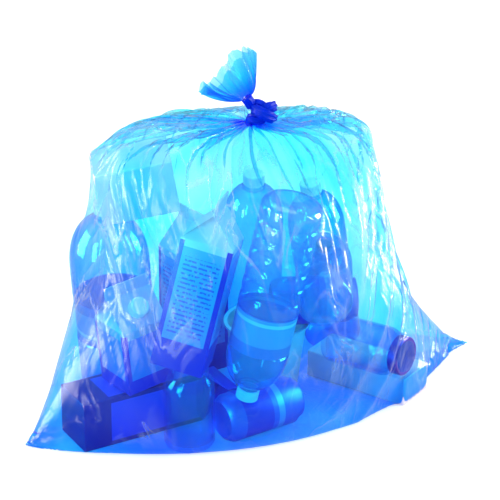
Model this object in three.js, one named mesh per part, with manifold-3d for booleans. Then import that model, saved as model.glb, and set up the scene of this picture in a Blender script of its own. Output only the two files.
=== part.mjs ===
// A tied see-through refuse bag that stands on the floor, full of empty household packaging.
// Millimetres, +Z up. X runs along the bottom seam from corner to corner, and -Y is the front.
import * as THREE from "three";
import { ConvexGeometry } from "three/addons/geometries/ConvexGeometry.js";
import { mergeVertices } from "three/addons/utils/BufferGeometryUtils.js";
import Module from "manifold-3d";

const kernel = await Module();
kernel.setup();

// Fits
const CLEARANCE = 0.3; // between two things that touch
const ROUND = 16; // sides of a turned piece

// Bag body, in its standing shape
const BAG_WIDTH = 660; // corner to corner along the bottom seam
const BASE_DEPTH = 296;
const CORNER_HEIGHT = 95; // where the corners have run into the body
const CORNER_WIDTH = 532;
const CORNER_DEPTH = 384;
const BELLY_HEIGHT = 215;
const BELLY_WIDTH = 414;
const BELLY_DEPTH = 412;
const SHOULDER_HEIGHT = 358;
const SHOULDER_WIDTH = 372;
const SHOULDER_DEPTH = 292;
const CROWN_HEIGHT = 400;
const CROWN_WIDTH = 290;
const CROWN_DEPTH = 136;
const NECK_HEIGHT = 408;
const BODY_SHIFT = -21; // the body hangs towards the left corner
const CORNER_PINCH = 1.9; // 1 is an ellipse, 2 a pointed lens
const CORNER_FLAP = 24; // the two faces of film lie together here
const FILM = 0.8;
const HEADROOM = 18; // air over the contents
const EASE = 3; // between the film and what pushes it out
const PLEATS = 14;
const PLEAT_DEPTH = 0.22; // share of the radius at the neck
const BODY_SIDES = 56;
const BODY_RINGS = 19;
const BRIDGE_PASSES = 6;
const EDGE_STEP = 8; // spacing at which the contents are felt by the film

// Neck, knot and tuft of the same film
const ROPE_RADIUS = 5.2; // gathered neck
const ROPE_BORE = 2;
const ROPE_SIDES = 10;
const KNOT_RADIUS = 2.33 * ROPE_RADIUS; // of the ring that the loops wind round: a tight knot follows its rope
const KNOT_SWING = 1.06 * ROPE_RADIUS; // in and out of that ring
const KNOT_RISE = 1.27 * ROPE_RADIUS; // over and under it
const KNOT_GAP = 0.3; // radians left open for the two ends
const KNOT_RINGS = 26;
const TUFT_LENGTH = 58;
const TUFT_WIDTH = 84;
const TUFT_THICKNESS = 34;
const TUFT_RINGS = 5;
const TUFT_SIDES = 40;
const TUFT_RUFFLES = 10;
const TUFT_RUFFLE_DEPTH = 0.14;
const TUFT_LEAN = 151; // degrees in plan: the way the tuft leans

// Drink cartons
const CARTON_SIDE = 70;
const CARTON_BODY = 178;
const CARTON_ROOF = 38;
const CARTON_FIN = 17;
const CARTON_FIN_THICKNESS = 3;
const SMALL_CARTON_BODY = 92;
const ROOF_TUCK = 24; // how far the side gussets fold in

// Bottles
const PLASTIC_WALL = 0.7;
const NECK_FINISH_RADIUS = 13;
const NECK_FINISH_HEIGHT = 17;
const NECK_FLANGE = 3;
const CAP_WALL = 1.6;
const CAP_HEIGHT = 16;
const LABEL_RECESS = 1.4;
const LABEL_THICKNESS = 0.5;
const RIBBED_RADIUS = 41;
const RIBBED_HEIGHT = 292;
const RIB_DEPTH = 2.2;
const RIB_PITCH = 21;
const LARGE_RADIUS = 54;
const LARGE_HEIGHT = 285;
const ROUND_RADIUS = 38;
const ROUND_HEIGHT = 176;
const RIGHT_RADIUS = 40;
const RIGHT_HEIGHT = 262;
const BACK_RADIUS = 42;
const BACK_HEIGHT = 276;

// Jars, cans, tub and boxes
const JAR_RADIUS = 34;
const JAR_HEIGHT = 118;
const JAR_MOUTH_RADIUS = 26;
const GLASS_WALL = 2.6;
const LID_HEIGHT = 14;
const LID_WALL = 0.8;
const CAN_RADIUS = 33;
const CAN_HEIGHT = 116;
const CAN_END_RADIUS = 26;
const TUB_RADIUS = 55;
const TUB_FOOT_RADIUS = 42;
const TUB_HEIGHT = 108;
const TUB_RIM = 4;
const JUICE_BOX = [64, 40, 158];
const PALE_BOX = [104, 70, 78];

const up = new THREE.Vector3(0, 0, 1);
const radians = THREE.MathUtils.degToRad;

// Materials by slot
const slots = {
  film: { color: "#39b6f2", roughness: 0.25, transparent: true, opacity: 0.45 },
  clear_plastic: { color: "#cfe6ee", roughness: 0.1, transparent: true, opacity: 0.4 },
  glass: { color: "#d8e6e4", roughness: 0.05, transparent: true, opacity: 0.4 },
  carton_board: { color: "#b9a6dc", roughness: 0.6 },
  dark_board: { color: "#5a3f9c", roughness: 0.6 },
  pale_board: { color: "#ecebf2", roughness: 0.7 },
  label: { color: "#7fb6e6", roughness: 0.5 },
  cap_plastic: { color: "#eef2f5", roughness: 0.4 },
  lid_metal: { color: "#4a2c86", roughness: 0.35, metalness: 0.3 },
  can_metal: { color: "#3f57a8", roughness: 0.3, metalness: 0.6 },
  tub_plastic: { color: "#f1eff4", roughness: 0.5 },
};
for (const [name, look] of Object.entries(slots)) {
  slots[name] = new THREE.MeshStandardMaterial({ name, ...look });
}

// Solids

function solidOf(geometry) {
  const bare = new THREE.BufferGeometry();
  const loose = geometry.index ? geometry.toNonIndexed() : geometry;
  bare.setAttribute("position", loose.getAttribute("position"));
  const merged = mergeVertices(bare, 1e-3);
  return new kernel.Manifold(
    new kernel.Mesh({
      numProp: 3,
      vertProperties: merged.attributes.position.array,
      triVerts: new Uint32Array(merged.index.array),
    }),
  );
}

function geometryOf(solid) {
  const mesh = solid.getMesh();
  const geometry = new THREE.BufferGeometry();
  geometry.setAttribute("position", new THREE.BufferAttribute(mesh.vertProperties, 3));
  geometry.setIndex(new THREE.BufferAttribute(mesh.triVerts, 1));
  return geometry;
}

// A turned solid from (radius, height) points, anticlockwise from the axis at its foot.
function turned(profile) {
  const points = profile.map(([radius, height]) => new THREE.Vector2(radius, height));
  const geometry = new THREE.LatheGeometry(points, ROUND);
  geometry.rotateX(Math.PI / 2);
  return geometry;
}

// A thing to put in the bag: its pieces, the closed outside that others lie against, and its length.
function thing(length, envelope, pieces) {
  return { length, envelope, pieces };
}

function piece(name, slot, geometry) {
  return { name, slot, geometry };
}

// Cartons and boxes

function gableCarton(name, slot, bodyHeight) {
  const half = CARTON_SIDE / 2;
  const fin = CARTON_FIN_THICKNESS / 2;
  const ridge = bodyHeight + CARTON_ROOF;
  const section = new THREE.Shape();
  section.moveTo(-half, 0);
  section.lineTo(half, 0);
  section.lineTo(half, bodyHeight);
  section.lineTo(fin, ridge);
  section.lineTo(fin, ridge + CARTON_FIN);
  section.lineTo(-fin, ridge + CARTON_FIN);
  section.lineTo(-fin, ridge);
  section.lineTo(-half, bodyHeight);
  const block = new THREE.ExtrudeGeometry(section, { depth: CARTON_SIDE, bevelEnabled: false });
  block.translate(0, 0, -half);
  block.rotateX(Math.PI / 2);
  let carton = solidOf(block);
  const envelope = block.clone();
  for (const side of [-1, 1]) {
    const tuck = new ConvexGeometry([
      new THREE.Vector3(-half, side * half * 1.01, bodyHeight),
      new THREE.Vector3(half, side * half * 1.01, bodyHeight),
      new THREE.Vector3(0, side * half * 1.01, ridge),
      new THREE.Vector3(0, side * (half - ROOF_TUCK), ridge - fin),
    ]);
    carton = carton.subtract(solidOf(tuck));
  }
  const made = geometryOf(carton);
  return thing(ridge + CARTON_FIN, envelope, [piece(name, slot, made)]);
}

function box(name, slot, [width, depth, height]) {
  const geometry = new THREE.BoxGeometry(width, depth, height);
  geometry.translate(0, 0, height / 2);
  return thing(height, geometry, [piece(name, slot, geometry.clone())]);
}

// A screw cap that stands square on the front slope of a carton's roof.
function addRoofCap(carton, name, bodyHeight) {
  const slope = Math.atan2(CARTON_ROOF, CARTON_SIDE / 2 - CARTON_FIN_THICKNESS / 2);
  const cap = turned([[0, 0], [NECK_FINISH_RADIUS, 0], [NECK_FINISH_RADIUS, CAP_HEIGHT], [0, CAP_HEIGHT]]);
  cap.translate(0, 0, CLEARANCE);
  cap.rotateY(slope);
  cap.translate((CARTON_SIDE / 2 + CARTON_FIN_THICKNESS / 2) / 2, 0, bodyHeight + CARTON_ROOF / 2);
  carton.pieces.push(piece(name, "cap_plastic", cap));
  const joined = solidOf(carton.envelope).add(solidOf(cap));
  carton.envelope = geometryOf(joined);
  return carton;
}

// Bottles

// Outside of a bottle up to its mouth; the label sits between the two panel heights.
function bottleProfile(radius, height, panel, ribs) {
  const heel = radius * 0.22;
  const neckFoot = height - NECK_FINISH_HEIGHT - NECK_FLANGE;
  const shoulderFoot = neckFoot - radius * 1.25;
  const points = [[0, heel * 0.8], [radius * 0.62, 0], [radius * 0.9, heel * 0.35], [radius, heel]];
  for (let rib = 1; rib <= ribs; rib += 1) {
    const middle = heel + rib * RIB_PITCH;
    points.push([radius, middle - RIB_PITCH / 4], [radius - RIB_DEPTH, middle]);
    points.push([radius, middle + RIB_PITCH / 4]);
  }
  if (panel) {
    points.push([radius, panel[0] - LABEL_RECESS], [radius - LABEL_RECESS, panel[0]]);
    points.push([radius - LABEL_RECESS, panel[1]], [radius, panel[1] + LABEL_RECESS]);
  }
  for (const turn of [0, 35, 70]) {
    const run = (radius - NECK_FINISH_RADIUS) * (1 - Math.cos(radians(turn)));
    points.push([radius - run, shoulderFoot + (neckFoot - shoulderFoot) * Math.sin(radians(turn))]);
  }
  points.push([NECK_FINISH_RADIUS, neckFoot], [NECK_FINISH_RADIUS + NECK_FLANGE, neckFoot]);
  points.push([NECK_FINISH_RADIUS + NECK_FLANGE, neckFoot + NECK_FLANGE]);
  points.push([NECK_FINISH_RADIUS, neckFoot + NECK_FLANGE], [NECK_FINISH_RADIUS, height]);
  return points;
}

// The hollow of a bottle: its outside moved in by the wall, without the flange and the ribs.
function hollow(outside, wall, heel) {
  const kept = outside.filter(([radius, height], i) => {
    const groove = i > 3 && i + 1 < outside.length && outside[i - 1][0] > radius && outside[i + 1][0] > radius;
    return !groove && (radius !== NECK_FINISH_RADIUS + NECK_FLANGE || height < heel);
  });
  const inside = kept.map(([radius, height]) => [
    Math.max(0, radius - wall - (height > heel ? Math.max(RIB_DEPTH, LABEL_RECESS) : 0)),
    height > heel ? height : height + wall,
  ]);
  inside[inside.length - 1][0] = NECK_FINISH_RADIUS - 2 * wall;
  return inside;
}

function bottle(name, radius, height, { panel = null, ribs = 0, labelled = false } = {}) {
  const outside = bottleProfile(radius, height, panel, ribs);
  const neckWall = [NECK_FINISH_RADIUS - 2 * PLASTIC_WALL, height];
  const inside = hollow(outside, PLASTIC_WALL, radius * 0.22 + 0.01);
  const neckTop = height - NECK_FINISH_HEIGHT;
  const wide = inside.filter(([, level]) => level < neckTop - NECK_FLANGE - 1);
  const cavity = [...wide, [neckWall[0], neckTop - NECK_FLANGE], neckWall];
  const body = turned([...outside, ...cavity.reverse()]);
  const capRadius = NECK_FINISH_RADIUS + CLEARANCE + CAP_WALL;
  const capFoot = height + CLEARANCE + CAP_WALL - CAP_HEIGHT;
  const cap = turned([
    [0, height + CLEARANCE],
    [capRadius - CAP_WALL, height + CLEARANCE],
    [capRadius - CAP_WALL, capFoot],
    [capRadius, capFoot],
    [capRadius, capFoot + CAP_HEIGHT],
    [0, capFoot + CAP_HEIGHT],
  ]);
  const closed = [
    ...outside.filter(([, level]) => level < capFoot),
    [capRadius, capFoot],
    [capRadius, capFoot + CAP_HEIGHT],
    [0, capFoot + CAP_HEIGHT],
  ];
  const pieces = [piece(name, "clear_plastic", body), piece(`${name}_cap`, "cap_plastic", cap)];
  if (labelled) {
    const inner = radius - LABEL_RECESS + CLEARANCE;
    const sleeve = turned([
      [inner, panel[0] + 1],
      [inner + LABEL_THICKNESS, panel[0] + 1],
      [inner + LABEL_THICKNESS, panel[1] - 1],
      [inner, panel[1] - 1],
      [inner, panel[0] + 1],
    ]);
    pieces.push(piece(`${name}_label`, "label", sleeve));
  }
  return thing(capFoot + CAP_HEIGHT, turned(closed), pieces);
}

// Jars, cans and tub

function jar(name, lidded) {
  const neck = JAR_MOUTH_RADIUS;
  const outside = [
    [0, 2],
    [JAR_RADIUS - 6, 0],
    [JAR_RADIUS, 6],
    [JAR_RADIUS, JAR_HEIGHT - 32],
    [JAR_RADIUS - 2.5, JAR_HEIGHT - 22],
    [neck, JAR_HEIGHT - 15],
    [neck, JAR_HEIGHT],
  ];
  const inside = [
    [neck - GLASS_WALL, JAR_HEIGHT],
    [neck - GLASS_WALL, JAR_HEIGHT - 17],
    [JAR_RADIUS - GLASS_WALL, JAR_HEIGHT - 32],
    [JAR_RADIUS - GLASS_WALL, 9],
    [0, 2 + 2 * GLASS_WALL],
  ];
  const pieces = [piece(name, "glass", turned([...outside, ...inside]))];
  const closed = [...outside, [0, JAR_HEIGHT]];
  if (!lidded) {
    return thing(JAR_HEIGHT, turned(closed), pieces);
  }
  const rim = neck + CLEARANCE + LID_WALL;
  const top = JAR_HEIGHT + CLEARANCE + LID_WALL;
  const lid = turned([
    [0, top - LID_WALL],
    [rim - LID_WALL, top - LID_WALL],
    [rim - LID_WALL, top - LID_HEIGHT],
    [rim, top - LID_HEIGHT],
    [rim, top - 1.5],
    [rim - 1.5, top],
    [0, top],
  ]);
  pieces.push(piece(`${name}_lid`, "lid_metal", lid));
  const liddedProfile = [...outside.slice(0, -1), [rim, top - LID_HEIGHT], [rim, top], [0, top]];
  return thing(top, turned(liddedProfile), pieces);
}

function can(name) {
  const profile = [
    [0, 6],
    [CAN_END_RADIUS - 5, 3],
    [CAN_END_RADIUS - 1, 0],
    [CAN_RADIUS, 11],
    [CAN_RADIUS, CAN_HEIGHT - 12],
    [CAN_END_RADIUS + 1, CAN_HEIGHT - 2],
    [CAN_END_RADIUS + 1, CAN_HEIGHT],
    [CAN_END_RADIUS - 1.5, CAN_HEIGHT],
    [CAN_END_RADIUS - 3, CAN_HEIGHT - 5],
    [0, CAN_HEIGHT - 5],
  ];
  const closed = [...profile.slice(0, 8), [0, CAN_HEIGHT]];
  return thing(CAN_HEIGHT, turned(closed), [piece(name, "can_metal", turned(profile))]);
}

function tub(name) {
  const rim = TUB_RADIUS + TUB_RIM;
  const outside = [[0, 1.5], [TUB_FOOT_RADIUS - 3, 0], [TUB_FOOT_RADIUS, 3], [TUB_RADIUS, TUB_HEIGHT - 3]];
  const lip = [[rim, TUB_HEIGHT - 3], [rim, TUB_HEIGHT], [TUB_RADIUS - 1.2, TUB_HEIGHT]];
  const inside = [[TUB_FOOT_RADIUS - 1.2, 4.5], [0, 2.7]];
  const made = turned([...outside, ...lip, ...inside]);
  const closed = turned([...outside, [rim, TUB_HEIGHT - 3], [rim, TUB_HEIGHT], [0, TUB_HEIGHT]]);
  return thing(TUB_HEIGHT, closed, [piece(name, "tub_plastic", made)]);
}

// Filling the bag

const bag = new THREE.Group();
const lying = []; // the closed outsides of the things already in the bag

function boxesMeet(a, b) {
  return [0, 1, 2].every((axis) => a.min[axis] < b.max[axis] && b.min[axis] < a.max[axis]);
}

function meetsAny(solid) {
  const room = solid.boundingBox();
  return lying.some((other) => boxesMeet(room, other.boundingBox()) && !solid.intersect(other).isEmpty());
}

// Lays a thing in the bag: its middle over the point `at`, its axis leaning from upright towards a
// plan direction, turned about its own axis, and let down until it touches the floor or another thing.
function lay(item, { at, lean = 0, toward = 0, spin = 0 }) {
  const turn = new THREE.Matrix4().makeTranslation(at[0], at[1], 0);
  turn.multiply(new THREE.Matrix4().makeRotationZ(radians(toward)));
  turn.multiply(new THREE.Matrix4().makeRotationY(radians(lean)));
  turn.multiply(new THREE.Matrix4().makeRotationZ(radians(spin - toward)));
  turn.multiply(new THREE.Matrix4().makeTranslation(0, 0, -item.length / 2));
  const outside = solidOf(item.envelope.clone().applyMatrix4(turn));
  const floor = FILM + CLEARANCE - outside.boundingBox().min[2];
  const isFree = (height) => !meetsAny(outside.translate([0, 0, height]));
  let low = floor;
  if (!isFree(floor)) {
    const step = 8;
    let high = floor + 640;
    while (isFree(high - step)) {
      high -= step;
    }
    low = high - step;
    while (high - low > 0.02) {
      const middle = (low + high) / 2;
      if (isFree(middle)) {
        high = middle;
      } else {
        low = middle;
      }
    }
    low = high + CLEARANCE;
  }
  lying.push(outside.translate([0, 0, low]));
  turn.premultiply(new THREE.Matrix4().makeTranslation(0, 0, low));
  for (const { name, slot, geometry } of item.pieces) {
    const mesh = new THREE.Mesh(geometry.applyMatrix4(turn), slots[slot]);
    mesh.name = name;
    bag.add(mesh);
  }
}

function fillBag() {
  const ribbedPanel = [156, 214];
  const wholeCarton = (name, slot) => gableCarton(name, slot, CARTON_BODY);
  const smallCarton = gableCarton("carton_small", "carton_board", SMALL_CARTON_BODY);
  lay(wholeCarton("carton_corner", "dark_board"), { at: [-158, -14], lean: 90, toward: 2, spin: 2 });
  lay(jar("jar_open", false), { at: [-138, -92] });
  lay(can("can_front"), { at: [-42, -104], lean: 90, toward: 6 });
  lay(box("juice_box", "pale_board", JUICE_BOX), { at: [156, -54], lean: 90, toward: -62, spin: 28 });
  lay(tub("tub"), { at: [22, -8] });
  lay(bottle("bottle_large", LARGE_RADIUS, LARGE_HEIGHT, { panel: [88, 150], labelled: true }), {
    at: [-164, 88],
    lean: 4,
    toward: 185,
  });
  lay(wholeCarton("carton_back", "carton_board"), { at: [-34, 104], lean: 4, toward: 60, spin: 8 });
  lay(bottle("bottle_back", BACK_RADIUS, BACK_HEIGHT), { at: [62, 110], lean: 6, toward: 250 });
  lay(bottle("bottle_right", RIGHT_RADIUS, RIGHT_HEIGHT, { panel: [80, 132], labelled: true }), {
    at: [152, 72],
    lean: 11,
    toward: 195,
  });
  lay(jar("jar", true), { at: [138, -88], lean: 88, toward: -62 });
  lay(addRoofCap(smallCarton, "carton_small_cap", SMALL_CARTON_BODY), {
    at: [-186, -20],
    lean: 5,
    toward: 170,
    spin: -82,
  });
  lay(can("can_back"), { at: [76, -42], lean: 90, toward: -20 });
  lay(bottle("bottle_round", ROUND_RADIUS, ROUND_HEIGHT), { at: [66, -88], lean: 87, toward: 61 });
  lay(
    bottle("bottle_ribbed", RIBBED_RADIUS, RIBBED_HEIGHT, { panel: ribbedPanel, ribs: 6, labelled: true }),
    { at: [-46, -144], lean: 168, toward: 151 },
  );
  lay(wholeCarton("carton_front", "carton_board"), { at: [-124, -104], lean: 15, toward: -4, spin: -40 });
  lay(box("box_pale", "pale_board", PALE_BOX), { at: [-150, 40], lean: 12, toward: 200, spin: -20 });
}

// The bag film

// The standing shape as one curve of half width, half depth and height, from floor to neck.
function bodyCurve(topOfContents) {
  const lift = Math.max(0, topOfContents + HEADROOM - CROWN_HEIGHT);
  const stations = [
    [BAG_WIDTH, BASE_DEPTH, 0],
    [CORNER_WIDTH, CORNER_DEPTH, CORNER_HEIGHT],
    [BELLY_WIDTH, BELLY_DEPTH, BELLY_HEIGHT],
    [SHOULDER_WIDTH, SHOULDER_DEPTH, SHOULDER_HEIGHT + lift],
    [CROWN_WIDTH, CROWN_DEPTH, CROWN_HEIGHT + lift],
    [2 * ROPE_RADIUS, 2 * ROPE_RADIUS, NECK_HEIGHT + lift],
  ];
  const points = stations.map(([width, depth, height]) => new THREE.Vector3(width / 2, depth / 2, height));
  return new THREE.CatmullRomCurve3(points, false, "centripetal");
}

// How far the points reach from the axis in each direction, as the hull of their outline.
function reachOf(points, directions) {
  const support = directions.map((angle) =>
    points.reduce((most, { x, y }) => Math.max(most, x * Math.cos(angle) + y * Math.sin(angle)), 0),
  );
  return (angle) => {
    let reach = Infinity;
    directions.forEach((other, i) => {
      const facing = Math.cos(angle - other);
      if (facing > 0.05) {
        reach = Math.min(reach, support[i] / facing);
      }
    });
    return reach;
  };
}

// Film bridges the hollows between what pushes it out, and the two corner tips stay where they are.
function bridge(pushes) {
  let bridged = pushes;
  for (let pass = 0; pass < BRIDGE_PASSES; pass += 1) {
    bridged = bridged.map((push, i) => {
      const beside = (bridged.at(i - 1) + bridged[(i + 1) % BODY_SIDES]) / 2;
      return i % (BODY_SIDES / 2) === 0 ? push : Math.max(push, beside);
    });
  }
  return bridged;
}

// One ring of film at a height: the outside, and the inside that leaves the corner flaps solid.
function bodyRing({ x: halfWidth, y: halfDepth, z }, top, needed) {
  const rise = Math.min(1, z / BELLY_HEIGHT);
  const pinch = 1 + (CORNER_PINCH - 1) * (1 - rise) ** 2;
  const flap = FILM + (CORNER_FLAP - FILM) * (1 - rise) ** 3;
  const gather = THREE.MathUtils.smoothstep(z, top - (NECK_HEIGHT - SHOULDER_HEIGHT), top);
  const shift = BODY_SHIFT * Math.min(1, z / CORNER_HEIGHT) * (1 - gather);
  const innerLevel = FILM + z * (1 - (2 * FILM) / top);
  const outside = [];
  const inside = [];
  for (let i = 0; i < BODY_SIDES; i += 1) {
    const angle = (2 * Math.PI * i) / BODY_SIDES;
    const across = Math.cos(angle);
    const deep = Math.sign(Math.sin(angle)) * Math.abs(Math.sin(angle)) ** pinch;
    const thinner = (half, wall) => half - Math.min(wall, half * 0.6);
    outside.push(new THREE.Vector3(halfWidth * across + shift, halfDepth * deep, z));
    const within = [thinner(halfWidth, flap) * across + shift, thinner(halfDepth, FILM) * deep];
    inside.push(new THREE.Vector3(...within, innerLevel));
  }
  const angles = inside.map(({ x, y }) => Math.atan2(y, x));
  const shares = Array.from({ length: 13 }, (_, i) => i / 12);
  const pushes = inside.map((point, i) => {
    const step = (other) => Math.atan2(Math.sin(other - angles[i]), Math.cos(other - angles[i]));
    const before = step(angles.at(i - 1));
    const after = step(angles[(i + 1) % BODY_SIDES]);
    const swing = shares.flatMap((share) => [before * share, after * share]);
    const reach = Math.max(...swing.map((turn) => needed(angles[i] + turn)));
    const chord = Math.cos(Math.max(Math.abs(before), Math.abs(after)) / 2);
    return Math.max(1, (reach / chord + EASE) / Math.hypot(point.x, point.y));
  });
  bridge(pushes).forEach((push, i) => {
    const wave = 1 + Math.cos((PLEATS * 2 * Math.PI * i) / BODY_SIDES);
    const pleated = push * (1 + (PLEAT_DEPTH * gather ** 2 * wave) / 2);
    for (const point of [outside[i], inside[i]]) {
      point.x *= pleated;
      point.y *= pleated;
    }
  });
  return { outside, inside };
}

// Points along every edge of a solid, close enough together for each ring of film to meet some.
function edgePoints(solid) {
  const { vertProperties, triVerts } = solid.getMesh();
  const corner = (i) => new THREE.Vector3(...vertProperties.subarray(3 * triVerts[i], 3 * triVerts[i] + 3));
  const points = [];
  for (let i = 0; i < triVerts.length; i += 1) {
    const from = corner(i);
    const to = corner(i % 3 === 2 ? i - 2 : i + 1);
    const parts = Math.ceil(from.distanceTo(to) / EDGE_STEP);
    for (let part = 0; part < parts; part += 1) {
      points.push(from.clone().lerp(to, part / parts));
    }
  }
  return points;
}

function bodyRings() {
  const corners = lying.flatMap(edgePoints);
  const curve = bodyCurve(corners.reduce((most, { z }) => Math.max(most, z), 0));
  const levels = curve.getSpacedPoints(BODY_RINGS - 1);
  const top = levels[levels.length - 1].z;
  const directions = Array.from({ length: 72 }, (_, i) => (2 * Math.PI * i) / 72);
  return levels.map((level, k) => {
    const below = levels[Math.max(0, k - 1)].z - 2 * FILM;
    const above = levels[Math.min(levels.length - 1, k + 1)].z + 2 * FILM;
    const near = corners.filter(({ z }) => z > below && z < above);
    return bodyRing(level, top, reachOf(near, directions));
  });
}

// The gathered neck's path: up from the bag, once through its own loop, and out to the tuft.
function knotPath(top) {
  const knot = [];
  for (let i = 0; i <= KNOT_RINGS; i += 1) {
    const t = KNOT_GAP + ((2 * Math.PI - 2 * KNOT_GAP) * i) / KNOT_RINGS;
    const reach = KNOT_RADIUS + KNOT_SWING * Math.cos(3 * t);
    const along = KNOT_RADIUS + KNOT_SWING - reach * Math.cos(2 * t);
    knot.push(new THREE.Vector3(reach * Math.sin(2 * t), along, -KNOT_RISE * Math.sin(3 * t)));
  }
  const entry = knot[0].clone().add(new THREE.Vector3(-6, -3, -9));
  const exit = knot[knot.length - 1].clone().add(new THREE.Vector3(6, -3, 8));
  const tip = exit.clone().add(new THREE.Vector3(1, -4, 6));
  const turn = radians(TUFT_LEAN + 90);
  const path = [entry, ...knot, exit, tip].map((point) => point.applyAxisAngle(up, turn));
  const foot = path[0].clone();
  return path.map((point) => point.sub(foot).add(new THREE.Vector3(0, 0, top + 3)));
}

// A ring of points round a place on the path, starting on the side nearest +X.
function ringAt(centre, normal, binormal, sides, radiusAt) {
  const start = Math.atan2(binormal.x, normal.x);
  return Array.from({ length: sides }, (_, i) => {
    const angle = (2 * Math.PI * i) / sides;
    const [wide, thick] = radiusAt(angle);
    const across = Math.cos(angle + start) * wide;
    const deep = Math.sin(angle + start) * thick;
    return centre.clone().addScaledVector(normal, across).addScaledVector(binormal, deep);
  });
}

function neckRings(top) {
  const curve = new THREE.CatmullRomCurve3(knotPath(top), false, "centripetal");
  const steps = KNOT_RINGS + 8;
  const { normals, binormals } = curve.computeFrenetFrames(steps, false);
  const outside = [];
  const inside = [];
  for (let i = 0; i <= steps; i += 1) {
    const centre = curve.getPointAt(i / steps);
    outside.push(ringAt(centre, normals[i], binormals[i], ROPE_SIDES, () => [ROPE_RADIUS, ROPE_RADIUS]));
    inside.push(ringAt(centre, normals[i], binormals[i], ROPE_SIDES, () => [ROPE_BORE, ROPE_BORE]));
  }
  return { outside, inside, end: curve.getPointAt(1), heading: curve.getTangentAt(1) };
}

// The flared end of the film above the knot: flattened, ruffled and open at the top.
function tuftRings(end, heading) {
  const left = new THREE.Vector3(Math.cos(radians(TUFT_LEAN)), Math.sin(radians(TUFT_LEAN)), 0);
  const aim = heading.clone().lerp(up.clone().addScaledVector(left, 0.3).normalize(), 0.8).normalize();
  const wideWay = left.clone().addScaledVector(aim, -left.dot(aim)).normalize();
  const thickWay = aim.clone().cross(wideWay);
  const outside = [];
  const inside = [];
  for (let ring = 1; ring <= TUFT_RINGS; ring += 1) {
    const share = ring / TUFT_RINGS;
    const flare = share ** 0.8;
    const wide = ROPE_RADIUS + (TUFT_WIDTH / 2 - ROPE_RADIUS) * flare;
    const thick = ROPE_RADIUS + (TUFT_THICKNESS / 2 - ROPE_RADIUS) * flare;
    const ruffle = (angle) => 1 + TUFT_RUFFLE_DEPTH * share * Math.cos(TUFT_RUFFLES * angle);
    const wall = FILM + (ROPE_RADIUS - ROPE_BORE - FILM) * (1 - share) ** 2;
    const centre = end.clone().addScaledVector(aim, TUFT_LENGTH * share);
    const sized = (less) => (angle) => [(wide - less) * ruffle(angle), (thick - less) * ruffle(angle)];
    outside.push(ringAt(centre, wideWay, thickWay, TUFT_SIDES, sized(0)));
    inside.push(ringAt(centre, wideWay, thickWay, TUFT_SIDES, sized(wall)));
  }
  return { outside, inside };
}

// Joins neighbouring rings, of equal or unequal counts, into one closed surface with a fan at each end.
function skin(rings, firstCentre, lastCentre) {
  const points = [];
  const index = [];
  const starts = rings.map((ring) => {
    points.push(...ring);
    return points.length - ring.length;
  });
  for (let k = 0; k + 1 < rings.length; k += 1) {
    const [lower, upper] = [rings[k].length, rings[k + 1].length];
    let i = 0;
    let j = 0;
    while (i < lower || j < upper) {
      const a = starts[k] + (i % lower);
      const b = starts[k + 1] + (j % upper);
      if (j >= upper || (i < lower && (i + 1) / lower <= (j + 1) / upper)) {
        i += 1;
        index.push(a, starts[k] + (i % lower), b);
      } else {
        j += 1;
        index.push(a, starts[k + 1] + (j % upper), b);
      }
    }
  }
  const fan = (ring, start, centre, facing) => {
    const middle = points.push(centre) - 1;
    ring.forEach((_, i) => {
      const pair = [start + i, start + ((i + 1) % ring.length)];
      index.push(middle, ...(facing > 0 ? pair : pair.reverse()));
    });
  };
  fan(rings[0], starts[0], firstCentre, -1);
  fan(rings[rings.length - 1], starts[rings.length - 1], lastCentre, 1);
  const geometry = new THREE.BufferGeometry().setFromPoints(points);
  geometry.setIndex(index);
  return geometry;
}

function bagFilm() {
  const body = bodyRings();
  const top = body[body.length - 1].outside[0].z;
  const neck = neckRings(top);
  const tuft = tuftRings(neck.end, neck.heading);
  const outside = [...body.map((ring) => ring.outside), ...neck.outside, ...tuft.outside];
  const inside = [...body.map((ring) => ring.inside), ...neck.inside, ...tuft.inside];
  const rings = [...outside, ...inside.reverse()];
  const film = skin(rings, new THREE.Vector3(0, 0, 0), new THREE.Vector3(0, 0, FILM));
  const mesh = new THREE.Mesh(film, slots.film);
  mesh.name = "bag_film";
  return mesh;
}

fillBag();
bag.add(bagFilm());

// The frame's origin is on the floor, under the middle of the whole.
const bounds = new THREE.Box3().setFromObject(bag);
const middle = bounds.getCenter(new THREE.Vector3());
bag.position.set(-middle.x, -middle.y, -bounds.min.z);

export default bag;
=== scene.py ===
# A tied see-through refuse bag full of empty packaging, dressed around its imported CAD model.
import math

import bmesh
import bpy
import numpy as np
from mathutils import Matrix, Vector


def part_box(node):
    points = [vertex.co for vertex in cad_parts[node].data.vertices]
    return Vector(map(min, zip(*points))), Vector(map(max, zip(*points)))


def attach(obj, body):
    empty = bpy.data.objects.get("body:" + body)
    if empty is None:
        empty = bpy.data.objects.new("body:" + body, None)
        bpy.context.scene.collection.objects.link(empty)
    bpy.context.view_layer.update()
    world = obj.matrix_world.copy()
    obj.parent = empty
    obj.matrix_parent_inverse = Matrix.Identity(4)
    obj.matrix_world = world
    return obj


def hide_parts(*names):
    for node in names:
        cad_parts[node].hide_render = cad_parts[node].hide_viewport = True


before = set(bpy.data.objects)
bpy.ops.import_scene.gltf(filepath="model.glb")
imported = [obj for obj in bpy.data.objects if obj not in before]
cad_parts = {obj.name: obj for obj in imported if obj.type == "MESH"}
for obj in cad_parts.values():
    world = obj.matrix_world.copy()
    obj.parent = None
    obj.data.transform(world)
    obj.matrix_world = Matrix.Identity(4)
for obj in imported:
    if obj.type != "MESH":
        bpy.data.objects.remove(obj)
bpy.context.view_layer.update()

# Bag, in metres
SEAM_HALF = 0.330  # corner to the middle of the bottom seam
SEAM_BOW = 0.020  # the right corner is drawn forward
SEAM_REACH = 0.010  # and outward
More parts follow.
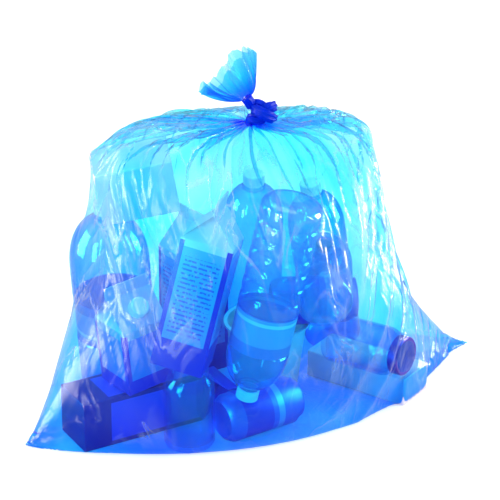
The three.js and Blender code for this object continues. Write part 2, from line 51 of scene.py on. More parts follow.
FLAT_SIZE = (0.660, 0.914)  # the empty bag laid flat, two layers of film
STATIONS = [  # half width, half depth and height of the standing bag
    (0.335, 0.150, 0.000),
    (0.264, 0.188, 0.095),
    (0.200, 0.206, 0.215),
    (0.184, 0.152, 0.352),
    (0.166, 0.072, 0.393),
    (0.006, 0.006, 0.403),
]
BODY_SHIFT = -0.015
CROWN_TILT = 0.10  # the left shoulder stands higher than the right
CORNER_HEIGHT = 0.095
BELLY_HEIGHT = 0.215
NECK_HEIGHT = 0.399
GRIDS = [(80, 44), (160, 88), (320, 176)]  # columns and rows of film, coarse to fine
SWEEPS = [260, 200, 170]
PLEATS = 10
PLEAT_DEPTH = 0.0130
LONG_FOLDS = [  # from and to: turns round from the right corner, share of the way down from the neck
    ((0.93, 0.10), (0.86, 0.52)),
    ((0.86, 0.12), (0.80, 0.46)),
    ((0.90, 0.38), (0.77, 0.74)),
    ((0.94, 0.42), (0.80, 0.82)),
    ((0.98, 0.50), (0.88, 0.80)),
    ((0.80, 0.40), (0.69, 0.62)),
    ((0.74, 0.10), (0.72, 0.40)),
    ((0.66, 0.08), (0.60, 0.44)),
    ((0.60, 0.12), (0.55, 0.50)),
    ((0.53, 0.30), (0.62, 0.66)),
    ((0.50, 0.45), (0.66, 0.72)),
    ((0.55, 0.40), (0.58, 0.78)),
    ((0.51, 0.60), (0.63, 0.80)),
    ((0.40, 0.15), (0.46, 0.62)),
    ((0.30, 0.12), (0.27, 0.60)),
    ((0.18, 0.15), (0.10, 0.66)),
    ((0.06, 0.20), (0.02, 0.70)),
]
FOLD_HEIGHT = 0.011
FOLD_WIDTH = 0.009
LENGTH_SLACK = 1.04  # film to spare between seam and neck
GIRTH_SLACK = 1.10  # and round the body
FILM_GAP = 0.0012  # between the film and what it lies on
FILM_ON_FLOOR = 0.0008
FIN_SHARE = 0.12  # of a carton's width, what its roof narrows to for the film
SHOULDER_HEIGHT = 0.352  # where the body starts to gather
TILT_FROM, TILT_OVER = 0.22, 0.15  # height where the crown starts to tilt, and the rise to its full tilt
FOLDED_LENGTH = 0.70  # film from neck to seam, as the long folds are placed on it
CRUMPLES = [  # waves round the bag, waves along it, height
    (6, 3, 0.0060),
    (13, 6, 0.0045),
    (23, 9, 0.0030),
    (37, 12, 0.0020),
]
PUFF, WEIGHT = 0.00004, 0.00002  # outward and downward step of the film in each sweep
SHAPE_PULL = 0.006  # share of the way back to the standing shape
SMOOTH_AROUND, SMOOTH_ALONG = 0.006, 0.010
NECK_UV, TUFT_UV = 0.75, 0.93  # where the knot and the tuft start along the film
TUB_PLACE = Vector((0.022, -0.008, 0))  # from the middle of the bag's plan

# Knot and tuft
ROPE_RADIUS = 0.0052
KNOT_RADIUS = 2.33 * ROPE_RADIUS
KNOT_SWING = 1.06 * ROPE_RADIUS
KNOT_RISE = 1.27 * ROPE_RADIUS
KNOT_GAP = 0.3
TUFT_LEAN = math.radians(151)
TUFT_LENGTH = 0.050
TUFT_HALF_WIDTH = 0.044
TUFT_HALF_DEPTH = 0.015
TUFT_SPLAY_WIDTH = 0.045  # half width at which the splay of the lip is given
TUFT_FOLDS = 11
TUFT_ROWS = 32
TUFT_POINTS = 240
KNOT_STEPS = 160
ROPE_SIDES = 40
ROPE_FULLNESS = 1.3  # loosely gathered film is fuller than the rope in CAD

# Packaging
CARTON_SIDE = 0.070
CARTON_BODY = 0.178
SMALL_CARTON_BODY = 0.092
CARTON_ROOF = 0.038
CARTON_FIN = 0.017
FIN_THICKNESS = 0.003
ROOF_TUCK = 0.024
WALL = 0.0007
NECK_RADIUS = 0.013
NECK_FINISH = 0.017
FLANGE = 0.003
CAP_WALL = 0.0016
CAP_HEIGHT = 0.016
CLEARANCE = 0.0003
RIB_PITCH = 0.021
RIB_DEPTH = 0.0022
LABEL_RECESS = 0.0014
BASE_OUTLINE = [  # dimpled base of a bottle, as shares of its radius and of its heel
    (0, 0.8),
    (0.25, 0.72),
    (0.45, 0.35),
    (0.62, 0),
    (0.78, 0.1),
    (0.9, 0.35),
    (0.97, 0.7),
    (1, 1),
]

VISUAL = "visual_"  # before the node name of a piece that stands for a node
scene = bpy.context.scene


# Node trees

def linear(red, green, blue):
    """A colour given in screen values of 0 to 255, as the shader's own numbers."""
    shares = [value / 255 for value in (red, green, blue)]
    return tuple(s / 12.92 if s <= 10 / 255 else ((s + 0.055) / 1.055) ** 2.4 for s in shares) + (1,)


def add(tree, kind, inputs=None, **settings):
    """A new node with its settings, and its inputs set or linked by name or number."""
    node = tree.nodes.new(kind)
    for key, value in settings.items():
        setattr(node, key, value)
    for key, value in (inputs or {}).items():
        if isinstance(value, bpy.types.NodeSocket):
            tree.links.new(value, node.inputs[key])
        else:
            node.inputs[key].default_value = value
    return node


def math_node(tree, operation, first, second=0.0, third=0.0):
    return add(tree, "ShaderNodeMath", {0: first, 1: second, 2: third}, operation=operation).outputs[0]


def new_material(name):
    material = bpy.data.materials.new(name)
    material.use_nodes = True
    material.node_tree.nodes.clear()
    return material, material.node_tree


def finish_material(tree, shader):
    add(tree, "ShaderNodeOutputMaterial", {"Surface": shader})


def colour_mix(tree, share, first, second):
    node = add(tree, "ShaderNodeMix", data_type="RGBA")
    for socket, value in zip((0, 6, 7), (share, first, second)):
        if isinstance(value, bpy.types.NodeSocket):
            tree.links.new(value, node.inputs[socket])
        else:
            node.inputs[socket].default_value = value
    return node.outputs[2]


def noise(tree, vector, scale, detail=3.0, bend=0.0):
    inputs = {"Vector": vector, "Scale": scale, "Detail": detail, "Distortion": bend}
    return add(tree, "ShaderNodeTexNoise", inputs).outputs["Fac"]


def stretched(tree, vector, scale):
    return add(tree, "ShaderNodeMapping", {"Vector": vector, "Scale": scale}).outputs[0]


def ramp(tree, value, start, end, first, last):
    return add(tree, "ShaderNodeMapRange", {0: value, 1: start, 2: end, 3: first, 4: last}).outputs[0]


def glancing_share(tree, normal, power):
    """0 face on, 1 at the edge of sight."""
    facing = add(tree, "ShaderNodeLayerWeight", {"Blend": 0.5, "Normal": normal}).outputs["Facing"]
    return math_node(tree, "POWER", facing, power)


def gloss_share(tree, normal, least):
    """How much of a thin clear sheet mirrors: little face on, much at a glancing angle."""
    return math_node(tree, "MULTIPLY_ADD", glancing_share(tree, normal, 4.0), 0.65 - least, least)


# For the film the veil share and colour carry painted highlight streaks as well as real milkiness.
def see_through(tree, colour, veil_colour, veil, least_gloss, roughness, normal):
    clear = add(tree, "ShaderNodeBsdfTransparent", {"Color": colour}).outputs[0]
    behind = add(tree, "ShaderNodeBsdfTranslucent", {"Color": veil_colour, "Normal": normal}).outputs[0]
    before = add(tree, "ShaderNodeBsdfDiffuse", {"Color": veil_colour, "Normal": normal}).outputs[0]
    milky = add(tree, "ShaderNodeMixShader", {0: 0.5, 1: behind, 2: before}).outputs[0]
    sheet = add(tree, "ShaderNodeMixShader", {0: veil, 1: clear, 2: milky}).outputs[0]
    finish = {"Color": (1, 1, 1, 1), "Roughness": roughness, "Normal": normal}
    shine = add(tree, "ShaderNodeBsdfGlossy", finish).outputs[0]
    share = gloss_share(tree, normal, least_gloss)
    return add(tree, "ShaderNodeMixShader", {0: share, 1: sheet, 2: shine}).outputs[0]


# Materials

# Pale tint of film pulled thin, also used as painted sheen.
PULLED_AND_SHEEN_TINT = (0.70, 0.94, 1.0, 1)
PLEAT_TINT = (0.04, 0.78, 1.0, 1)
DEEP_TINT = (0.005, 0.24, 0.95, 1)
# Milky white of the film, which is also the colour of its painted highlight streaks.
MILK_AND_HIGHLIGHT_COLOUR = linear(214, 232, 255)


def film_noise(tree, uv, around, along, detail, bend=0.0):
    """Noise on the flat film, with so many features around the bag and along it."""
    return noise(tree, stretched(tree, uv, (around, along, 1)), 1.0, detail, bend)


def film_creases(tree, uv):
    """Nearly 1 on fine crease lines that wander over the film, lower between them."""
    height = film_noise(tree, uv, 22, 7, 4.0, 0.6)
    from_ridge = math_node(tree, "ABSOLUTE", math_node(tree, "SUBTRACT", height, 0.5))
    return math_node(tree, "SUBTRACT", 1.0, math_node(tree, "SMOOTH_MIN", from_ridge, 0.05, 0.04))


def pulled_thin_and_sheen(tree, uv, length, corners):
    """Patches where the film is pulled thin and where painted sheen is placed, most of them high up and at
    the sides.
    """
    sides = math_node(tree, "MULTIPLY_ADD", corners, 0.12, -0.05)
    higher = math_node(tree, "MULTIPLY_ADD", length, 0.30, -0.13)
    thin_and_sheen = film_noise(tree, uv, 7, 5, 1.0)
    thin_and_sheen = math_node(tree, "ADD", thin_and_sheen, math_node(tree, "ADD", sides, higher))
    return ramp(tree, thin_and_sheen, 0.42, 0.62, 0.0, 1.0)


def film_tint(tree, uv, length, corners, thin_and_sheen, thin, thick, folded):
    """What the film lets through: pale where pulled thin, with painted sheen in the same patches; deep in
    pleats and at the knot; deeper low down, partly doubled film and partly painted shade, deepest along the
    bottom seam as painted shade.
    """
    clouds = ramp(tree, film_noise(tree, uv, 9, 6, 2.0), 0.36, 0.60, 0.0, 1.0)
    colour = colour_mix(tree, clouds, thin, thick)
    # Paler in the patches: partly film pulled thin, partly painted sheen.
    colour = colour_mix(tree, math_node(tree, "MULTIPLY", thin_and_sheen, 0.75), colour, PULLED_AND_SHEEN_TINT)
    out_of_knot = ramp(tree, length, 0.935, 1.0, 1.0, 0.35)
    pleats = ramp(tree, film_noise(tree, uv, 15, 1.8, 1.0), 0.50, 0.58, 0.0, 0.75)
    pleats = math_node(tree, "MULTIPLY", pleats, ramp(tree, length, 0.42, 0.66, 0.0, 1.0))
    colour = colour_mix(tree, math_node(tree, "MULTIPLY", pleats, out_of_knot), colour, PLEAT_TINT)
    layers = ramp(tree, film_noise(tree, uv, 17, 10, 3.0, 0.5), 0.40, 0.58, 0.55, 1.0)
    # Deeper towards the bottom, in patches: partly doubled film, partly painted shade.
    doubled_and_low_shade = math_node(tree, "MULTIPLY", ramp(tree, length, 0.06, 0.52, 1.0, 0.0), layers)
    towards_knot = ramp(tree, length, 0.725, 0.755, 0.0, 1.0)
    gathered = math_node(tree, "MINIMUM", towards_knot, out_of_knot)
    colour = colour_mix(tree, math_node(tree, "MAXIMUM", doubled_and_low_shade, gathered), colour, folded)
    # Painted shade: a deep blue band along the bottom seam, fading towards the corners.
    off_corners = ramp(tree, corners, 0.75, 0.97, 0.9, 0.0)
    seam = math_node(tree, "MULTIPLY", ramp(tree, length, 0.03, 0.20, 1.0, 0.0), off_corners)
    above_knot = ramp(tree, length, 0.90, 0.91, 0.0, 1.0)
    throat = math_node(tree, "MINIMUM", above_knot, ramp(tree, length, 0.93, 0.962, 1.0, 0.0))
    return colour_mix(tree, math_node(tree, "MAXIMUM", seam, throat), colour, DEEP_TINT)


def film_milk_and_highlights(tree, uv, length, crease, thin_and_sheen, veil):
    """How milky the film is, with painted highlights: white lines and bands where it is pulled, hardly any
    elsewhere.
    """
    # Painted highlights: white streaks on the crease ridges and in bands, fewer near the neck and low down.
    lines = ramp(tree, crease, 0.972, 0.995, 0.06, 0.36)
    highlight_bands = ramp(tree, film_noise(tree, uv, 44, 4, 3.0, 0.8), 0.56, 0.70, 0.0, 0.22)
    highlight_streaks = math_node(tree, "MULTIPLY", math_node(tree, "MAXIMUM", lines, highlight_bands), thin_and_sheen)
    highlight_streaks = math_node(tree, "MULTIPLY", highlight_streaks, ramp(tree, length, 0.60, 0.70, 1.0, 0.15))
    highlight_streaks = math_node(tree, "MULTIPLY", highlight_streaks, ramp(tree, length, 0.05, 0.28, 0.35, 1.0))
    return math_node(tree, "ADD", highlight_streaks, veil)


def film_material(name, thin, thick, folded, veil, least_gloss):
    """Blue film: each layer takes out red first, so that layers deepen from pale cyan to blue."""
    material, tree = new_material(name)
    uv = add(tree, "ShaderNodeTexCoord").outputs["UV"]
    round_share, length, _ = add(tree, "ShaderNodeSeparateXYZ", {0: uv}).outputs
    turn = math_node(tree, "COSINE", math_node(tree, "MULTIPLY", round_share, 2 * math.pi))
    corners = math_node(tree, "ABSOLUTE", turn)
    crease = film_creases(tree, uv)
    height = math_node(tree, "MULTIPLY_ADD", crease, 9.0, film_noise(tree, uv, 60, 5, 4.0))
    normal = add(tree, "ShaderNodeBump", {"Height": height, "Strength": 0.55, "Distance": 0.004}).outputs[0]
    thin_and_sheen = pulled_thin_and_sheen(tree, uv, length, corners)
    colour = film_tint(tree, uv, length, corners, thin_and_sheen, thin, thick, folded)
    # Slight milkiness plus the painted highlight streaks.
    milk_and_highlights = film_milk_and_highlights(tree, uv, length, crease, thin_and_sheen, veil)
    finish_material(tree, see_through(tree, colour, MILK_AND_HIGHLIGHT_COLOUR, milk_and_highlights, least_gloss, 0.22, normal))
    return material


def gathered_material():
    """Film gathered so tightly that its many layers read as one deep blue, with painted shade in the crease
    valleys and painted light on the ridges.
    """
    material, tree = new_material("film_gathered")
    uv = add(tree, "ShaderNodeTexCoord").outputs["UV"]
    crease_height_and_shade = noise(tree, stretched(tree, uv, (24, 5, 1)), 1.0, 4.0)
    normal = add(tree, "ShaderNodeBump", {"Height": crease_height_and_shade, "Strength": 0.6, "Distance": 0.003}).outputs[0]
    # Painted shade and light: darker where the crease relief is low, lighter where it is high.
    colour = colour_mix(tree, crease_height_and_shade, linear(0, 12, 196), linear(0, 80, 255))
    finish = {"Base Color": colour, "Normal": normal, "Roughness": 0.28, "Specular IOR Level": 0.10}
    solid = add(tree, "ShaderNodeBsdfPrincipled", finish)
    clear = add(tree, "ShaderNodeBsdfTransparent", {"Color": linear(4, 70, 235)}).outputs[0]
    milky = add(tree, "ShaderNodeBsdfTranslucent", {"Color": colour, "Normal": normal}).outputs[0]
    glowing = add(tree, "ShaderNodeMixShader", {0: 0.5, 1: clear, 2: milky}).outputs[0]
    shader = add(tree, "ShaderNodeMixShader", {0: 0.55, 1: glowing, 2: solid.outputs[0]}).outputs[0]
    finish_material(tree, shader)
    return material


def clear_material(name, colour, deep, veil, roughness):
    material, tree = new_material(name)
    place = add(tree, "ShaderNodeTexCoord").outputs["Object"]
    dents = noise(tree, place, 28.0)
    normal = add(tree, "ShaderNodeBump", {"Height": dents, "Strength": 0.25, "Distance": 0.004}).outputs[0]
    tone = colour_mix(tree, dents, colour, deep)
    edge = (0.4 * deep[0], 0.72 * deep[1], 1.0, 1)
    tone = colour_mix(tree, glancing_share(tree, normal, 1.6), tone, edge)
    shader = see_through(tree, tone, (0.8, 0.9, 1.0, 1), veil, 0.035, roughness, normal)
    finish_material(tree, shader)
    return material


def solid_material(name, colour, worn, roughness, metallic=0.0, scale=40.0):
    material, tree = new_material(name)
    place = add(tree, "ShaderNodeTexCoord").outputs["Object"]
    mottle = noise(tree, place, scale, 4.0)
    normal = add(tree, "ShaderNodeBump", {"Height": mottle, "Strength": 0.15, "Distance": 0.002}).outputs[0]
    tone = colour_mix(tree, mottle, colour, worn)
    shader = add(
        tree,
        "ShaderNodeBsdfPrincipled",
        {"Base Color": tone, "Normal": normal, "Roughness": roughness, "Metallic": metallic},
    )
    finish_material(tree, shader.outputs[0])
    return material


def within(tree, value, low, high):
    """1 between the two values, else 0."""
    above = math_node(tree, "GREATER_THAN", value, low)
    below = math_node(tree, "LESS_THAN", value, high)
    return math_node(tree, "MULTIPLY", above, below)


def printed_board(name, ground, ink, panel, lined, foot=0.040, top=0.168):
    """Coated board with a printed panel of fine lines between a dark foot and dark edges."""
    material, tree = new_material(name)
    place = add(tree, "ShaderNodeTexCoord").outputs["Object"]
    parts = add(tree, "ShaderNodeSeparateXYZ", {0: place}).outputs
    width_x = math_node(tree, "ABSOLUTE", parts["X"])
    width_y = math_node(tree, "ABSOLUTE", parts["Y"])
    from_middle = math_node(tree, "MINIMUM", width_x, width_y)
    height = parts["Z"]
    scuffs = noise(tree, place, 55.0, 5.0)
    tone = colour_mix(tree, scuffs, ground, tuple(0.86 * v for v in ground[:3]) + (1,))
    panel_share = within(tree, height, foot, top)
    tone = colour_mix(tree, panel_share, tone, panel)
    if lined:
        wave = math_node(tree, "SINE", math_node(tree, "MULTIPLY", height, 2 * math.pi / 0.0062))
        lines = math_node(tree, "GREATER_THAN", wave, 0.2)
        words = noise(tree, stretched(tree, place, (320, 320, 161)), 1.0, 1.0)
        words = math_node(tree, "GREATER_THAN", words, 0.44)
        inner = math_node(tree, "LESS_THAN", from_middle, 0.024)
        print_share = math_node(tree, "MULTIPLY", math_node(tree, "MULTIPLY", lines, words), inner)
        lined_part = within(tree, height, foot + 0.008, top - 0.012)
        print_share = math_node(tree, "MULTIPLY", print_share, lined_part)
        tone = colour_mix(tree, math_node(tree, "MULTIPLY", print_share, 0.75), tone, ink)
    edge = math_node(tree, "GREATER_THAN", from_middle, 0.0285)
    edge = math_node(tree, "MULTIPLY", edge, math_node(tree, "LESS_THAN", height, top + 0.008))
    base = math_node(tree, "LESS_THAN", height, foot)
    tone = colour_mix(tree, math_node(tree, "MAXIMUM", edge, base), tone, ink)
    normal = add(tree, "ShaderNodeBump", {"Height": scuffs, "Strength": 0.12, "Distance": 0.002}).outputs[0]
    shader = add(
        tree,
        "ShaderNodeBsdfPrincipled",
        {"Base Color": tone, "Normal": normal, "Roughness": 0.42},
    )
    finish_material(tree, shader.outputs[0])
    return material


def banded(name, ground, band, other, pitch, roughness, metallic=0.0):
    """A wrapper with fields of colour one above the other."""
    material, tree = new_material(name)
    place = add(tree, "ShaderNodeTexCoord").outputs["Object"]
    height = add(tree, "ShaderNodeSeparateXYZ", {0: place}).outputs["Z"]
    mottle = noise(tree, place, 60.0, 4.0)
    turn = math_node(tree, "FRACT", math_node(tree, "DIVIDE", height, pitch))
    tone = colour_mix(tree, within(tree, turn, 0.18, 0.55), ground, band)
    tone = colour_mix(tree, within(tree, turn, 0.62, 0.70), tone, other)
    tone = colour_mix(tree, math_node(tree, "MULTIPLY", mottle, 0.3), tone, ground)
    normal = add(tree, "ShaderNodeBump", {"Height": mottle, "Strength": 0.1, "Distance": 0.002}).outputs[0]
    shader = add(
        tree,
        "ShaderNodeBsdfPrincipled",
        {"Base Color": tone, "Normal": normal, "Roughness": roughness, "Metallic": metallic},
    )
    finish_material(tree, shader.outputs[0])
    return material


BOARD_WHITE, BOARD_INK, BOARD_PANEL = linear(230, 224, 250), linear(56, 26, 214), linear(96, 170, 248)
PLAIN_WHITE, PLAIN_INK, PLAIN_PANEL = linear(214, 206, 246), linear(70, 44, 220), linear(120, 150, 246)
DARK_GROUND, DARK_INK, DARK_PANEL = linear(84, 60, 226), linear(30, 20, 160), linear(96, 84, 240)
LABEL_GROUND, LABEL_BAND, LABEL_LINE = linear(96, 176, 242), linear(44, 128, 228), linear(206, 238, 252)
CAN_GROUND, CAN_BAND, CAN_LINE = linear(70, 110, 232), linear(40, 50, 214), linear(150, 190, 244)
FILM_THIN, FILM_THICK, FILM_FOLDED = (0.32, 0.93, 1.0, 1), (0.05, 0.86, 1.0, 1), (0.02, 0.52, 1.0, 1)
BOTTLE_PALE, BOTTLE_DEEP = (0.44, 0.95, 1.0, 1), (0.22, 0.86, 1.0, 1)
GLASS_PALE, GLASS_DEEP = (0.80, 0.92, 0.96, 1), (0.70, 0.86, 0.93, 1)

MATERIALS = {
    "film": film_material("film", FILM_THIN, FILM_THICK, FILM_FOLDED, 0.012, 0.008),
    "film_gathered": gathered_material(),
    "clear_plastic": clear_material("clear_plastic", BOTTLE_PALE, BOTTLE_DEEP, 0.08, 0.10),
    "glass": clear_material("glass", GLASS_PALE, GLASS_DEEP, 0.03, 0.04),
    "carton_board": printed_board("carton_board", BOARD_WHITE, BOARD_INK, BOARD_PANEL, True),
    "plain_board": printed_board("plain_board", PLAIN_WHITE, PLAIN_INK, PLAIN_PANEL, False, 0.02, 0.08),
    "dark_board": printed_board("dark_board", DARK_GROUND, DARK_INK, DARK_PANEL, False),
    "pale_board": solid_material("pale_board", linear(244, 240, 250), linear(222, 212, 240), 0.5),
    "label": banded("label", LABEL_GROUND, LABEL_BAND, LABEL_LINE, 0.062, 0.4),
    "cap_plastic": solid_material("cap_plastic", linear(244, 250, 252), linear(216, 236, 246), 0.35),
    "lid_metal": solid_material("lid_metal", linear(58, 36, 190), linear(36, 22, 140), 0.32, 0.3, 90.0),
    "can_metal": banded("can_metal", CAN_GROUND, CAN_BAND, CAN_LINE, 0.116, 0.35, 0.3),
    "tub_plastic": solid_material("tub_plastic", linear(238, 236, 246), linear(216, 212, 236), 0.45),
}


# Meshes

def make_object(name, vertices, faces, slot, sharp=35):
    mesh = bpy.data.meshes.new(name)
    mesh.from_pydata([tuple(v) for v in vertices], [], faces)
    work = bmesh.new()
    work.from_mesh(mesh)
    bmesh.ops.recalc_face_normals(work, faces=work.faces)
    work.to_mesh(mesh)
    work.free()
    mesh.shade_smooth()
    mesh.set_sharp_from_angle(angle=math.radians(sharp))
    mesh.materials.append(MATERIALS[slot])
    made = bpy.data.objects.new(VISUAL + name, mesh)
    scene.collection.objects.link(made)
    return made


def turned(name, profile, slot, segments=72, closed=False, ripple=0.0):
    """A turned piece from (radius, height) points; a ripple gives it grip ribs."""
    vertices, rings, faces = [], [], []
    for radius, height in profile:
        start = len(vertices)
        if radius < 1e-6:
            vertices.append((0, 0, height))
            rings.append([start] * segments)
            continue
        for i in range(segments):
            angle = 2 * math.pi * i / segments
            reach = radius + (ripple if i % 2 else 0.0)
            vertices.append((reach * math.cos(angle), reach * math.sin(angle), height))
        rings.append(list(range(start, start + segments)))
    pairs = list(zip(rings, rings[1:])) + ([(rings[-1], rings[0])] if closed else [])
    for lower, upper in pairs:
        for i in range(segments):
            k = (i + 1) % segments
            corners = list(dict.fromkeys((lower[i], lower[k], upper[k], upper[i])))
            if len(corners) > 2:
                faces.append(corners)
    return make_object(name, vertices, faces, slot)


def softened(piece, width, segments=2):
    bevel = piece.modifiers.new("rounded_edges", "BEVEL")
    bevel.width = width
    bevel.segments = segments
    bevel.limit_method = "ANGLE"
    bevel.angle_limit = math.radians(30)
    return piece


def gable_carton(name, slot, body):
    half = CARTON_SIDE / 2
    fin = FIN_THICKNESS / 2
    ridge = body + CARTON_ROOF
    top = ridge + CARTON_FIN
    vertices, faces = [], []

    def face(*points):
        faces.append(list(range(len(vertices), len(vertices) + len(points))))
        vertices.extend(points)

    def upright(s, low, high, reach_low, reach_high):
        a, b = s * reach_low, s * reach_high
        face((a, -half, low), (a, half, low), (b, half, high), (b, -half, high))

    face((-half, -half, 0), (half, -half, 0), (half, half, 0), (-half, half, 0))
    face((-fin, -half, top), (fin, -half, top), (fin, half, top), (-fin, half, top))
    for s in (-1, 1):
        upright(s, 0, body, half, half)
        face((-half, s * half, 0), (half, s * half, 0), (half, s * half, body), (-half, s * half, body))
        upright(s, body, ridge, half, fin)
        upright(s, ridge, top, fin, fin)
        face((-fin, s * half, ridge), (fin, s * half, ridge), (fin, s * half, top), (-fin, s * half, top))
        fold = (0, s * (half - ROOF_TUCK), ridge - fin)
        face((-half, s * half, body), (half, s * half, body), fold)
        face((-half, s * half, body), fold, (-fin, s * half, ridge))
        face((half, s * half, body), fold, (fin, s * half, ridge))
        face((-fin, s * half, ridge), fold, (fin, s * half, ridge))
    made = make_object(name, vertices, faces, slot)
    work = bmesh.new()
    work.from_mesh(made.data)
    bmesh.ops.remove_doubles(work, verts=work.verts, dist=1e-6)
    bmesh.ops.recalc_face_normals(work, faces=work.faces)
    work.to_mesh(made.data)
    work.free()
    return softened(made, 0.0009)


def plain_box(name, slot, size):
    width, depth, height = (v / 2 for v in size)
    ends = (-1, 1)
    corners = [(x * width, y * depth, height + z * height) for x in ends for y in ends for z in ends]
    faces = [(0, 1, 3, 2), (4, 6, 7, 5), (0, 4, 5, 1), (2, 3, 7, 6), (0, 2, 6, 4), (1, 5, 7, 3)]
    return softened(make_object(name, corners, faces, slot), 0.0018, 3)


def bottle_profile(radius, height, panel=None, ribs=0):
    """Outside of a bottle: dimpled base, ribs, label panel, round shoulder, flange and neck."""
    heel = radius * 0.22
    neck_foot = height - NECK_FINISH - FLANGE
    shoulder = neck_foot - radius * 1.25
    points = [(radius * across, heel * up) for across, up in BASE_OUTLINE]
    for rib in range(1, ribs + 1):
        middle = heel + rib * RIB_PITCH
        for step in np.linspace(-1, 1, 9):
            depth = RIB_DEPTH * 0.5 * (1 + math.cos(math.pi * step))
            points.append((radius - depth, middle + step * RIB_PITCH / 4))
    if panel:
        low, high = panel
        points += [(radius, low - LABEL_RECESS), (radius - LABEL_RECESS, low)]
        points += [(radius - LABEL_RECESS, high), (radius, high + LABEL_RECESS)]
    for turn in np.radians(np.linspace(0, 70, 9)):
        inset = (radius - NECK_RADIUS) * (1 - math.cos(turn))
        points.append((radius - inset, shoulder + (neck_foot - shoulder) * math.sin(turn)))
    points += [(NECK_RADIUS, neck_foot), (NECK_RADIUS + FLANGE, neck_foot)]
    points += [(NECK_RADIUS + FLANGE, neck_foot + FLANGE), (NECK_RADIUS, neck_foot + FLANGE)]
    points.append((NECK_RADIUS, height))
    return points


def shell(outside, wall, neck_from):
    """The closed wall between an outside profile and the same profile moved in."""
    inside = []
    for radius, height in outside:
        if height < neck_from or radius <= NECK_RADIUS:
            inside.append((max(0.0, radius - wall), height + (wall if radius < outside[3][0] else 0)))
    inside[0] = (0, outside[0][1] + wall)
    return outside + inside[::-1]


def bottle(name, radius, height, panel=None, ribs=0):
    outside = bottle_profile(radius, height, panel, ribs)
    pieces = [turned(name, shell(outside, WALL, height - NECK_FINISH - FLANGE - 0.001), "clear_plastic")]
    reach = NECK_RADIUS + CLEARANCE + CAP_WALL
    foot = height + CLEARANCE + CAP_WALL - CAP_HEIGHT
    top = foot + CAP_HEIGHT
    cap = [(0, height + CLEARANCE), (reach - CAP_WALL, height + CLEARANCE)]
    cap += [(reach - CAP_WALL, foot), (reach, foot)]
    cap += [(reach, foot + 0.003), (reach - 0.0005, foot + 0.0035), (reach, foot + 0.004)]
    cap += [(reach, top - 0.0015), (reach - 0.0015, top), (0, top)]
    pieces.append(turned(name + "_cap", cap, "cap_plastic", segments=96, ripple=-0.0005))
    if panel:
        inner = radius - LABEL_RECESS + CLEARANCE
        low, high = panel[0] + 0.001, panel[1] - 0.001
        sleeve = [(inner, low), (inner + 0.0005, low), (inner + 0.0005, high), (inner, high)]
        pieces.append(turned(name + "_label", sleeve, "label", closed=True))
    return pieces, ("turned", outside + [(reach, foot), (reach, top)])


def jar(name, lidded):
    radius, height, neck, wall = 0.034, 0.118, 0.026, 0.0026
    rim, top = 0.0271, height + 0.0011
    outside = [(0, 0.002), (radius - 0.006, 0), (radius - 0.002, 0.0015), (radius, 0.006)]
    outside += [(radius, height - 0.032)]
    outside += [(radius - 0.001, height - 0.026), (radius - 0.004, height - 0.020), (neck, height - 0.015)]
    outside += [(neck, height)]
    inside = [(neck - wall, height), (neck - wall, height - 0.017), (radius - wall, height - 0.032)]
    inside += [(radius - wall, 0.009), (0, 0.0072)]
    pieces = [turned(name, outside + inside, "glass")]
    if lidded:
        inner = rim - 0.0008
        lid = [(0, top - 0.0008), (inner, top - 0.0008), (inner, top - 0.014), (rim, top - 0.014)]
        lid += [(rim, top - 0.0015), (rim - 0.0015, top), (rim - 0.005, top)]
        lid += [(rim - 0.007, top - 0.0007), (0, top - 0.0004)]
        pieces.append(turned(name + "_lid", lid, "lid_metal", segments=96))
    return pieces, ("turned", outside + [(rim, height - 0.012), (rim, height)])


def can(name):
    radius, end, height = 0.033, 0.026, 0.116
    profile = [(0, 0.006), (end - 0.005, 0.003), (end - 0.001, 0), (end + 0.003, 0.003), (radius, 0.011)]
    profile += [(radius, height - 0.012), (end + 0.001, height - 0.002), (end + 0.001, height)]
    profile += [(end - 0.0015, height), (end - 0.003, height - 0.005), (0, height - 0.005)]
    return [turned(name, profile, "can_metal")], ("turned", profile[:8])


def tub(name):
    radius, foot, height = 0.055, 0.042, 0.108
    profile = [(0, 0.0015), (foot - 0.003, 0), (foot, 0.003), (radius, height - 0.003)]
    profile += [(radius + 0.004, height - 0.003)]
    profile += [(radius + 0.004, height), (radius - 0.0012, height), (foot - 0.0012, 0.0045), (0, 0.0027)]
    return [turned(name, profile, "tub_plastic")], ("turned", profile[:6])


def carton(name, slot, body):
    """A gable-top carton and the room it takes up."""
    room = (CARTON_SIDE, CARTON_SIDE, body + CARTON_ROOF + CARTON_FIN)
    return [gable_carton(name, slot, body)], ("gable", room, body)


def roof_cap(name):
    slope = math.atan2(CARTON_ROOF, CARTON_SIDE / 2 - FIN_THICKNESS / 2)
    rim = NECK_RADIUS
    profile = [(0, 0), (rim, 0), (rim, CAP_HEIGHT - 0.0015), (rim - 0.0015, CAP_HEIGHT), (0, CAP_HEIGHT)]
    cap = turned(name, profile, "cap_plastic", segments=96, ripple=-0.0005)
    seat = Vector(((CARTON_SIDE + FIN_THICKNESS) / 4, 0, SMALL_CARTON_BODY + CARTON_ROOF / 2))
    lift = Matrix.Translation((0, 0, CLEARANCE))
    cap.data.transform(Matrix.Translation(seat) @ Matrix.Rotation(slope, 4, "Y") @ lift)
    return cap


def boxed(name, slot, size):
    return [plain_box(name, slot, size)], ("gable", size, size[2])


# Packaging in its places

obstacles = []


def node_of(piece):
    return piece.name.removeprefix(VISUAL)


